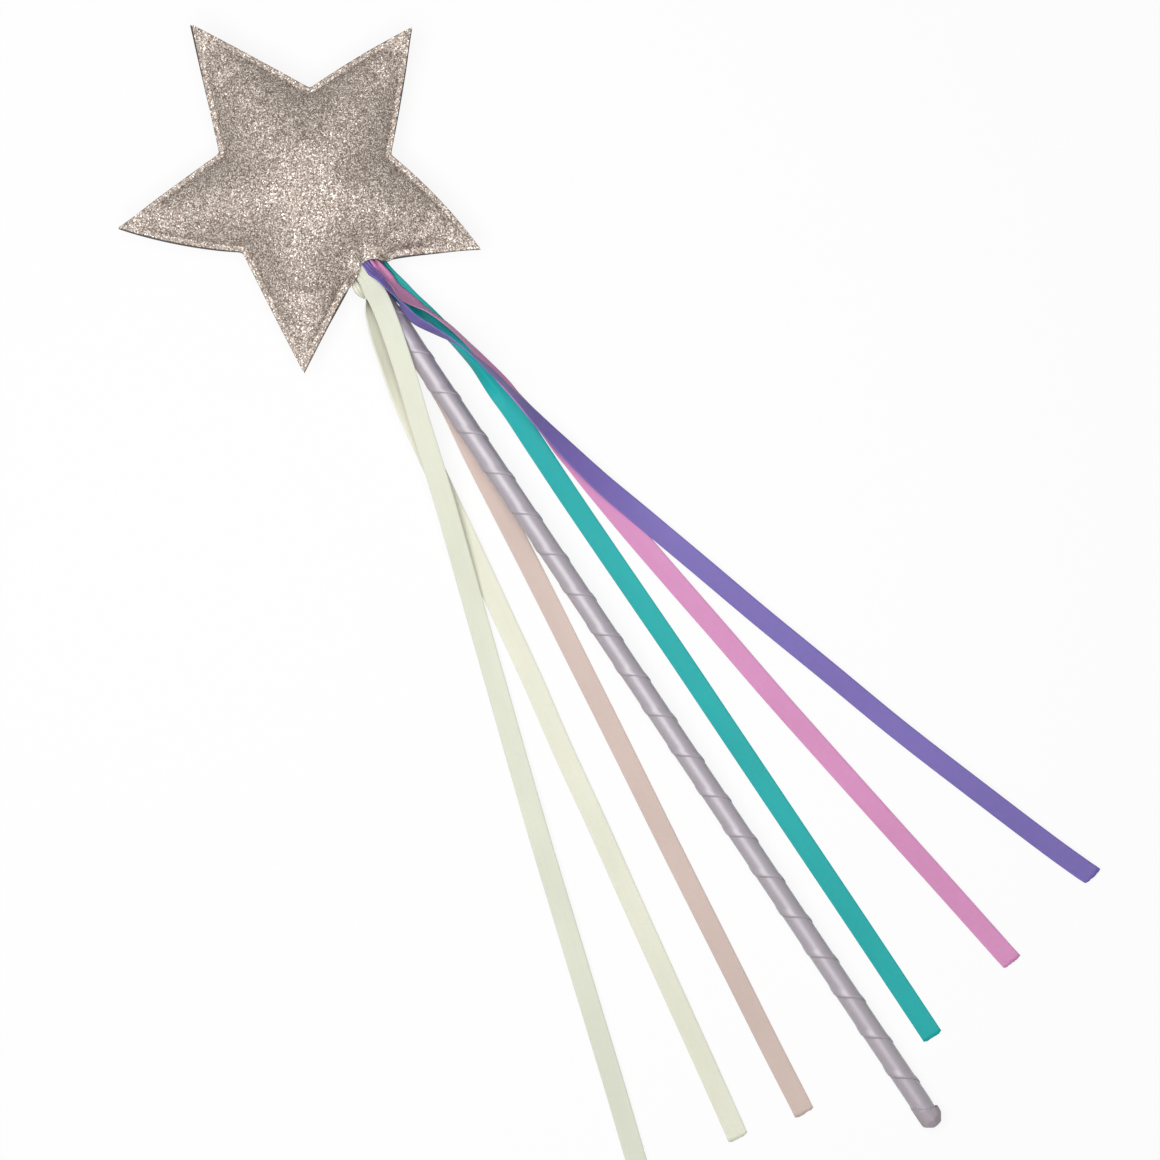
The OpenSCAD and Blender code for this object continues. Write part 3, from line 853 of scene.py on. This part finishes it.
# %% Shape of the sewn star
EDGE_BOW = 0.15
BOWS = {(3, 1): 1.1, (0, 1): 1.3, (1, 1): 0.6}
BOW_REACH = 11
MOUTH_REACH = 15
NOTCH_SLOPE = (TIP_R * math.sin(-FIRST_TIP) - NOTCH_R) / (TIP_R * math.cos(FIRST_TIP))
FRONT_LIP = [
    (-33.8, -46.52), (-20, -40.1), (-12, -36.4), (-8, -34.9), (-5.4, -34.5), (-1.3, -33), (1.2, -31.2),
    (3.8, -31.3), (6.1, -32.6), (7.9, -34.9), (10.2, -34.6), (14, -36.2), (20, -39.3), (33.8, -46.52),
]
BACK_LIP = [
    (-33.8, -46.52), (-20, -40.1), (-10, -35.6), (-5, -33.6), (0, -33), (5, -33.4), (10, -34.9), (20, -39.4),
    (33.8, -46.52),
]
BACK_SHOWS = {
    (2, 1): [(0.3, 0), (0.55, 0.2), (1, 0.6)],
    (3, 1): [(0, 0.2), (0.2, 0.4), (0.85, 0.45), (1, 0.3)],
    (4, 1): [(0, 0.3), (0.3, 0.45), (0.6, 0.2), (1, 0.1)],
    (1, -1): [(0, 0), (0.3, 0.2), (0.7, 0.25), (1, 0.1)],
    (0, -1): [(0.2, 0.05), (0.5, 0.12), (0.9, 0.1)],
}
TIP_SHIFTS = ((-0.3, -1), (-1.1, 2.2), (-1.3, 0.2), (0.5, 1.3), (1.8, -2.3))
NOTCH_SHIFTS = ((0.2, 0.2), (1.2, -0.8), (0.3, -2), (-0.4, 0.8), (0, 0))
SEWN_REACH = 22
MOUTH_X = 1.6
MOUTH_HALF = 6.9
MOUTH_H = 5.2
MOUTH_FADE = 8
MOUTH_EDGES = ((4, 1), (0, -1))
DOME_POWER = 0.75
centre_depth = TIP_R * notch_v / edge_l - RIM_W


def arm_place(point):
    angle = math.atan2(point.y, point.x) - FIRST_TIP
    arm = round(angle / ARM_TURN) % ARMS
    turned = Matrix.Rotation(-(FIRST_TIP + arm * ARM_TURN), 3, "Z") @ Vector((point.x, point.y, 0))
    return arm, turned.x, turned.y


def edge_place(u, v, side):
    from_tip = Vector((u - TIP_R, v))
    inward = Vector((-notch_v, -side * (TIP_R - notch_u))) / edge_l
    run = Vector((TIP_R - notch_u, -side * notch_v)) / edge_l
    return from_tip.dot(inward), 1 + from_tip.dot(run) / edge_l


def hand_sewn(arm, u, v):
    half = notch_v * min(u / notch_u, (TIP_R - u) / (TIP_R - notch_u))
    across = min(max(v / max(half, CELL), -1), 1)
    depth, t = min(edge_place(u, v, side) for side in (1, -1))
    notch = Vector(NOTCH_SHIFTS[arm - 1]).lerp(Vector(NOTCH_SHIFTS[arm]), (across + 1) / 2)
    shift = notch.lerp(Vector(TIP_SHIFTS[arm]), min(max(t, 0), 1))
    return shift.to_3d() * smooth(1 - depth / SEWN_REACH)


def star_place(point, front):
    arm, u, v = arm_place(point)
    moved = Vector((u, v, 0))
    for side in (1, -1):
        depth, t = edge_place(u, v, side)
        near = smooth(1 - depth / BOW_REACH)
        t = min(max(t, 0), 1)
        bow = 0 if (arm, side) in MOUTH_EDGES else BOWS.get((arm, side), EDGE_BOW)
        out = bow * 4 * t * (1 - t)
        if not front and (arm, side) in BACK_SHOWS:
            out += along(BACK_SHOWS[arm, side], t)
        moved += Vector((notch_v, side * (TIP_R - notch_u), 0)) / edge_l * out * near
    moved = Matrix.Rotation(FIRST_TIP + arm * ARM_TURN, 3, "Z") @ moved
    if point.y < 0 and arm in (0, 4):
        edge = -NOTCH_R - abs(point.x) * NOTCH_SLOPE
        lip = along(FRONT_LIP if front else BACK_LIP, point.x)
        moved.y += (lip - edge) * smooth(1 - (point.y - edge) / MOUTH_REACH)
    return moved + hand_sewn(arm, u, v)


def dome(point):
    arm, u, v = arm_place(point)
    a, b = (max(edge_place(u, v, side)[0] - RIM_W, 0) for side in (1, -1))
    full = min(1, (a * b / centre_depth**2) ** DOME_POWER)
    return DOME_H * (1 - (1 - full) ** 2)


def mouth_arch(point):
    if point.y > -NOTCH_R / 2:
        return 0
    inside = 1 - ((point.x - MOUTH_X) / MOUTH_HALF) ** 2
    return MOUTH_H * math.sqrt(max(inside, 0)) * smooth((-NOTCH_R / 2 - point.y) / MOUTH_FADE)


# %% [markdown]
# ## Stuffing by cloth simulation
# Fabric that is sewn along its edge and stuffed from inside takes a shape that no formula gives: taut over
# the middle, with small puckers where it meets the seam. Blender's Cloth finds it. The panel starts from the
# domed shape, its rim, sewing line and lip are pinned, and pressure pushes it out for twenty frames. Cloth
# works best on things about a metre wide, so the panel is simulated at ten times its size. A cap on how far
# a point may move keeps the star's measured thickness.

# %% Simulate a panel
SIM_SCALE = 0.01
SIM_FRAMES = 20
SIM_PRESSURE = 3.0
SIM_SLACK = -0.03
SIM_CAP = 2.2


def stuffed(places, faces_from, pinned):
    mesh = bpy.data.meshes.new("stuffing_trial")
    faces_from.to_mesh(mesh)
    for vert, place in zip(mesh.vertices, places):
        vert.co = place * SIM_SCALE
    trial = bpy.data.objects.new("stuffing_trial", mesh)
    bpy.context.scene.collection.objects.link(trial)
    seam = trial.vertex_groups.new(name="seam")
    seam.add(pinned, 1.0, "REPLACE")
    cloth = trial.modifiers.new("Stuffing", "CLOTH")
    cloth.settings.quality = 8
    cloth.settings.mass = 0.3
    cloth.settings.tension_stiffness = 30
    cloth.settings.compression_stiffness = 30
    cloth.settings.shear_stiffness = 12
    cloth.settings.bending_stiffness = 1.5
    cloth.settings.use_pressure = True
    cloth.settings.uniform_pressure_force = SIM_PRESSURE
    cloth.settings.shrink_min = SIM_SLACK
    cloth.settings.vertex_group_mass = "seam"
    cloth.settings.effector_weights.gravity = 0
    cloth.collision_settings.use_collision = False
    for step in range(1, SIM_FRAMES + 1):
        bpy.context.scene.frame_set(step)
    result = trial.evaluated_get(bpy.context.evaluated_depsgraph_get()).data
    moved = []
    for place, vert in zip(places, result.vertices):
        shift = vert.co / SIM_SCALE - place
        shift *= min(1, SIM_CAP / max(shift.length, 1e-6))
        moved.append(place + shift)
    bpy.context.scene.frame_set(1)
    bpy.data.objects.remove(trial)
    bpy.data.meshes.remove(mesh)
    return moved


# %% [markdown]
# ## The two panels
# Front and back come from the same pattern. The front gets the valley and the gathers that the mouth pulls
# into it. The back is pressed flat where the star lies on the table. The sheet is the fabric's outer face,
# so its thickness goes inwards, and the inside and the cut edge show the dark backing.

# %% Make the panels
VALLEY = (Vector((2.6, -32)), Vector((8.6, -12.5)))
VALLEY_DEPTH = 2.4
VALLEY_W = 2.5
GATHER_H = 0.35
GATHER_WAVES = 2.1
GATHER_REACH = 6
GATHER_HALF = 7
GATHER_FADE = 5
VALLEY_FULL = 0.1
ARCH_DEPTH = 14
PIN_SLACK = 0.1
PIN_REACH = 4
PIN_HALF = 12
TABLE_CLEAR = 0.02


def table_height(y):
    return -(star_centre.z / MM + y * math.sin(tilt)) / math.cos(tilt)


def mouth_folds(place):
    start, end = VALLEY
    run = end - start
    t = min(max((place.xy - start).dot(run) / run.length_squared, 0), 1)
    off = (place.xy - start - run * t).length
    fade = 1 - smooth(t * (1 + VALLEY_FULL) - VALLEY_FULL)
    valley = VALLEY_DEPTH * math.exp(-((off / VALLEY_W) ** 2)) * fade
    lip = along(FRONT_LIP, place.x)
    near_lip = smooth(1 - (place.y - lip) / GATHER_REACH)
    near_lip *= smooth(1 - (abs(place.x - MOUTH_X) - GATHER_HALF) / GATHER_FADE)
    return GATHER_H * near_lip * math.sin(GATHER_WAVES * place.x) - valley


def panel(name, front):
    bm = flat_star(CELL)
    bm.verts.ensure_lookup_table()
    bm.verts.index_update()
    points = [vert.co.copy() for vert in bm.verts]
    places = []
    pinned = []
    for i, point in enumerate(points):
        arm, u, v = arm_place(point)
        depth = min(edge_place(u, v, side)[0] for side in (1, -1))
        place = star_place(point, front)
        height = max(dome(point), mouth_arch(place) if depth < ARCH_DEPTH else 0)
        place.z = height if depth > RIM_W / 2 else max(0, mouth_arch(place))
        places.append(place)
        by_lip = place.y < along(FRONT_LIP, place.x) + PIN_REACH and abs(place.x - MOUTH_X) < PIN_HALF
        if depth < RIM_W + PIN_SLACK or by_lip:
            pinned.append(i)
    places = stuffed(places, bm, pinned)
    for vert, place in zip(bm.verts, places):
        lift = place.z + (mouth_folds(place) if front else 0)
        vert.co = Vector((place.x, place.y, lift + FABRIC_T))
        if not front:
            vert.co.z = max(-vert.co.z, table_height(vert.co.y) + TABLE_CLEAR)
    if not front:
        bmesh.ops.reverse_faces(bm, faces=bm.faces)
    piece = made(bm, name, WAND)
    finer = piece.modifiers.new("Smoother", "SUBSURF")
    finer.levels = 1
    finer.render_levels = 1
    thicken(piece, FABRIC_T, -1, inner_slot=1)
    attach(piece, "wand")
    return piece


front_panel = panel("star_front", True)
back_panel = panel("star_back", False)
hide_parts("star_front_panel")
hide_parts("star_back_panel")

# %% [markdown]
# ## Glitter fabric
# The fabric is coated with tiny flakes that lie at all angles, so each reflects the light its own way. A
# Voronoi texture has just such cells: its random colour tips every flake's normal, and white noise at the
# flake's place gives it a tone, a roughness and a share of metal, so that finish and tip don't go together.
# The lightest tone is a painted glint: a colour that stands in for the sparkle of a flake that catches the light.
# The flakes are a third of a millimetre across, on Object coordinates. The backing is a dark grey knit.

# %% The glitter and its backing
FLAKE_MM = 0.34
FLAKE_TIP = 0.6
FINE_FLAKES = 2.3
KNIT_SCALE = 2600


def glitter_flakes():
    group, given, result = new_group(
        "Glitter flakes",
        {"Place": "Vector", "Normal": "Vector", "Base": "Color", "Dark": "Color", "Bright": "Color"},
        {"Color": "Color", "Roughness": "Float", "Metallic": "Float", "Normal": "Vector"},
    )
    place = vector_of(group, "MULTIPLY", given["Place"], (1 / MM / FLAKE_MM,) * 3)
    flake = add(group, "TexVoronoi", {"Vector": place, "Scale": 1.0}).outputs
    finish = add(group, "TexWhiteNoise", {"Vector": flake["Position"]}).outputs["Color"]
    split = add(group, "SeparateColor", {0: finish}).outputs
    fine_place = vector_of(group, "MULTIPLY", place, (FINE_FLAKES,) * 3)
    fine = add(group, "TexVoronoi", {"Vector": fine_place, "Scale": 1.0}).outputs["Color"]
    fine_split = add(group, "SeparateColor", {0: fine}).outputs
    dark = remap(group, split["Red"], 0.1, 0.45, 0.95, 0.0)
    # The brightest flakes get a painted glint: a light colour for the sparkle of a flake that catches the light.
    painted_glint = remap(group, split["Red"], 0.6, 0.92, 0.0, 1.0)
    tone = blend_colour(group, dark, given["Base"], given["Dark"])
    tone = blend_colour(group, painted_glint, tone, given["Bright"])
    speck = remap(group, fine_split["Red"], 0.1, 0.9, 0.86, 1.12)
    tone = blend_colour(group, 1.0, tone, grey(group, speck), "MULTIPLY")
    group.links.new(tone, result["Color"])
    group.links.new(remap(group, split["Green"], 0.0, 1.0, 0.28, 0.6), result["Roughness"])
    group.links.new(remap(group, split["Blue"], 0.45, 0.85, 0.05, 0.55), result["Metallic"])
    tipped = vector_of(group, "SUBTRACT", flake["Color"], (0.5, 0.5, 0.5))
    tipped = vector_of(group, "MULTIPLY", tipped, (FLAKE_TIP,) * 3)
    normal = vector_of(group, "ADD", given["Normal"], tipped)
    group.links.new(vector_of(group, "NORMALIZE", normal), result["Normal"])
    return group


GLITTER = glitter_flakes()


def glitter(name, base, dark, painted_glint):
    material, tree, shader = new_material(name)
    normal = add(tree, "NewGeometry").outputs["Normal"]
    colours = {"Base": srgb(*base), "Dark": srgb(*dark), "Bright": srgb(*painted_glint)}
    inputs = {"Place": object_place(tree), "Normal": normal, **colours}
    flakes = add(tree, "Group", inputs, node_tree=GLITTER).outputs
    tree.links.new(flakes["Color"], shader["Base Color"])
    for socket in ("Roughness", "Metallic", "Normal"):
        tree.links.new(flakes[socket], shader[socket])
    return material


def backing():
    material, tree, shader = new_material("dark_backing", Roughness=0.85)
    values = {"Vector": object_place(tree), "Scale": KNIT_SCALE}
    knit = add(tree, "TexVoronoi", values).outputs["Distance"]
    tone = blend_colour(tree, knit, srgb(62, 59, 60), srgb(96, 92, 92))
    tree.links.new(tone, shader["Base Color"])
    emboss(tree, shader, knit, 0.4, 0.1)
    return material


CHAMPAGNE = (164, 149, 138)
# The painted glint colour for the brightest flakes follows.
DARK_FLAKE = (110, 94, 83)
PAINTED_GLINT_FLAKE = (229, 220, 210)
dark_backing = backing()
for piece, name in ((front_panel, "glitter_front"), (back_panel, "glitter_back")):
    piece.data.materials.append(glitter(name, CHAMPAGNE, DARK_FLAKE, PAINTED_GLINT_FLAKE))
    piece.data.materials.append(dark_backing)

# %% [markdown]
# ## The seam's stitches
# A row of short stitches runs along the middle of the rim on each face and stops at the mouth. One stitch is
# a sphere drawn out to a grain, with few faces, and a loop lays it along every edge of the star.

# %% Sew the rim
STITCH_L = 1.5
STITCH_W = 0.32
STITCH_H = 0.22
STITCH_STEP = 2.3
SEAM_ENDS = (0.03, 0.955)
MOUTH_END = 0.2
AHEAD = 0.01


def sew(front):
    bm = bmesh.new()
    for arm in range(ARMS):
        for side in (1, -1):
            first = MOUTH_END if (arm, side) in MOUTH_EDGES else SEAM_ENDS[0]
            count = int((SEAM_ENDS[1] - first) * edge_l / STITCH_STEP)
            turn = Matrix.Rotation(FIRST_TIP + arm * ARM_TURN, 3, "Z")
            for i in range(count + 1):
                t = first + (SEAM_ENDS[1] - first) * i / count
                inward = Vector((-notch_v, -side * (TIP_R - notch_u), 0)) / edge_l * RIM_W / 2
                corner = Vector((notch_u, side * notch_v, 0))
                flat = corner.lerp(Vector((TIP_R, 0, 0)), t) + inward
                ahead = corner.lerp(Vector((TIP_R, 0, 0)), t + AHEAD) + inward
                here, there = star_place(turn @ flat, front), star_place(turn @ ahead, front)
                heading = math.atan2(there.y - here.y, there.x - here.x)
                height = mouth_arch(here) + FABRIC_T
                here.z = height if front else -height
                grain = Matrix.Diagonal((STITCH_L / 2, STITCH_W / 2, STITCH_H / 2, 1))
                spot = Matrix.Translation(here) @ Matrix.Rotation(heading, 4, "Z") @ grain
                bmesh.ops.create_uvsphere(bm, u_segments=6, v_segments=5, radius=1, matrix=spot)
    return bm


stitch_bm = sew(True)
back_mesh = bpy.data.meshes.new("back_row")
back_row = sew(False)
back_row.to_mesh(back_mesh)
back_row.free()
stitch_bm.from_mesh(back_mesh)
bpy.data.meshes.remove(back_mesh)
stitches = made(stitch_bm, "rim_stitches", WAND)
stitches.data.materials.append(thread("seam_thread", (190, 178, 168)))
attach(stitches, "wand")
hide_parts("seam_stitching")

# %% [markdown]
# ## The stuffing
# A lump of polyester fibre fills the star, with a tunnel for the dowel. It is the flat star again, drawn in
# from the seam, domed on both faces, made lumpy with noise, and cut by a rod a little thicker than the dowel.

# %% Fill the star
FILL_CELL = 3
FILL_SHARE = 0.9
LUMP_H = 0.5
LUMP_SCALE = 0.2
LUMP_FROM = 3
SEAM_SLACK = 0.05
FILL_WELD = 0.05
TUNNEL_R = 3.9
TUNNEL_L = 60
TUNNEL_Y = -22

fill_bm = flat_star(FILL_CELL)
for vert in fill_bm.verts:
    arm, u, v = arm_place(vert.co)
    if min(edge_place(u, v, side)[0] for side in (1, -1)) < RIM_W - SEAM_SLACK:
        vert.tag = True
bmesh.ops.delete(fill_bm, geom=[vert for vert in fill_bm.verts if vert.tag], context="VERTS")
upper_half = fill_bm.verts[:] + fill_bm.edges[:] + fill_bm.faces[:]
lower_half = bmesh.ops.duplicate(fill_bm, geom=upper_half)["geom"]
lower = {item for item in lower_half if isinstance(item, bmesh.types.BMVert)}
lower_faces = [item for item in lower_half if isinstance(item, bmesh.types.BMFace)]
bmesh.ops.reverse_faces(fill_bm, faces=lower_faces)
for vert in fill_bm.verts:
    high = dome(vert.co) * FILL_SHARE
    lump = LUMP_H * noise.noise(vert.co * LUMP_SCALE) * min(1, high / LUMP_FROM)
    vert.co = star_place(vert.co, True) * FILL_SHARE
    vert.co.z = -(high + lump) if vert in lower else high + lump
    vert.co.z = max(vert.co.z, table_height(vert.co.y) + 2 * FABRIC_T)
bmesh.ops.remove_doubles(fill_bm, verts=fill_bm.verts, dist=FILL_WELD)
bmesh.ops.recalc_face_normals(fill_bm, faces=fill_bm.faces)
filling = made(fill_bm, "fibre_stuffing", WAND)

rod_bm = bmesh.new()
bmesh.ops.create_cone(
    rod_bm,
    cap_ends=True,
    segments=32,
    radius1=TUNNEL_R,
    radius2=TUNNEL_R,
    depth=TUNNEL_L,
    matrix=Matrix.Translation((0, TUNNEL_Y, 0)) @ Matrix.Rotation(math.pi / 2, 4, "X"),
)
rod = made(rod_bm, "tunnel_rod", WAND)
tunnel = filling.modifiers.new("Tunnel", "BOOLEAN")
tunnel.operation = "DIFFERENCE"
tunnel.object = rod
tunnel.solver = "EXACT"
bpy.context.view_layer.update()
cut_filling = filling.evaluated_get(bpy.context.evaluated_depsgraph_get())
bored = bpy.data.meshes.new_from_object(cut_filling)
filling.modifiers.clear()
filling.data = bored
bpy.data.objects.remove(rod)


TUFT_SCALE = 900.0


def fibre():
    material, tree, shader = new_material("filling", Roughness=0.95, Sheen_Weight=0.4)
    tufts = cloudy(tree, object_place(tree), TUFT_SCALE, 8.0)
    tone = blend_colour(tree, tufts, srgb(228, 226, 222), srgb(246, 245, 242))
    tree.links.new(tone, shader["Base Color"])
    emboss(tree, shader, tufts, 0.8, 0.6)
    return material


filling.data.materials.clear()
filling.data.materials.append(fibre())
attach(filling, "wand")
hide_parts("star_filling")

# %% [markdown]
# ## Floor and light
# The wand lies on white card under soft studio light. To the camera the card is almost pure white, with a
# trace of the wand's shadow. To the wand it is plain card, and from below it is clear, so that the wand's
# back can be looked at. Its white glow lights nothing, so it is not sampled as a lamp, which would only make
# the ribbons grainy. A large soft lamp hangs overhead, where the photograph's highlights come from, a weak
# one stands on the left, and the white room fills in the rest.

# %% Floor and light
FLOOR_SIZE = 12.0
FLOOR_DROP = 0.0003
FLOOR_WHITE = 0.88
CARD_GREY = (0.45, 0.45, 0.45, 1)
CARD_WHITE = (0.9, 0.9, 0.9, 1)
floor_bm = bmesh.new()
bmesh.ops.create_grid(floor_bm, x_segments=1, y_segments=1, size=FLOOR_SIZE)
floor = made(floor_bm, "floor", Matrix.Translation((0, 0, -FLOOR_DROP)))


def seen_directly(tree):
    rays = add(tree, "LightPath").outputs
    seen = math_of(tree, "MAXIMUM", rays["Is Camera Ray"], rays["Is Glossy Ray"])
    return math_of(tree, "MAXIMUM", seen, rays["Is Transmission Ray"])


def card():
    material = bpy.data.materials.new("white_card")
    material.use_nodes = True
    tree = material.node_tree
    tree.nodes.clear()
    plain = add(tree, "BsdfDiffuse", {"Color": CARD_GREY}).outputs[0]
    shadowed = add(tree, "BsdfDiffuse", {"Color": CARD_WHITE}).outputs[0]
    glow = add(tree, "Emission", {"Color": (1, 1, 1, 1), "Strength": 1.0}).outputs[0]
    white = add(tree, "MixShader", {0: FLOOR_WHITE, 1: shadowed, 2: glow}).outputs[0]
    mixed = add(tree, "MixShader", {0: seen_directly(tree), 1: plain, 2: white}).outputs[0]
    clear = add(tree, "BsdfTransparent").outputs[0]
    below = add(tree, "NewGeometry").outputs["Backfacing"]
    shown = add(tree, "MixShader", {0: below, 1: mixed, 2: clear}).outputs[0]
    add(tree, "OutputMaterial", {"Surface": shown})
    material.cycles.emission_sampling = "NONE"
    return material


floor.data.materials.append(card())

ROOM_LEVEL = 0.15
ROOM_WHITE = 0.9
world = bpy.data.worlds.new("white_room")
bpy.context.scene.world = world
world.use_nodes = True
room = world.node_tree
room.nodes.clear()
level = remap(room, seen_directly(room), 0.0, 1.0, ROOM_LEVEL, ROOM_WHITE)
sky = add(room, "Background", {"Color": (1, 1, 1, 1), "Strength": level})
add(room, "OutputWorld", {"Surface": sky.outputs[0]})


def soft_lamp(name, place, aim, size, power):
    data = bpy.data.lights.new(name, "AREA")
    data.shape = "DISK"
    data.size = size
    data.energy = power
    lamp = bpy.data.objects.new(name, data)
    lamp.location = place
    lamp.rotation_euler = (Vector(aim) - Vector(place)).to_track_quat("-Z", "Y").to_euler()
    lamp.visible_camera = False
    bpy.context.scene.collection.objects.link(lamp)
    print("Hung", name)


soft_lamp("overhead_lamp", (-0.11, 0.075, 0.75), (0, 0.14, 0), 0.7, 6.2)
soft_lamp("key_lamp", (-0.55, -0.12, 0.85), (0, 0.03, 0), 0.7, 0.2)
bpy.context.scene.view_settings.view_transform = "Standard"
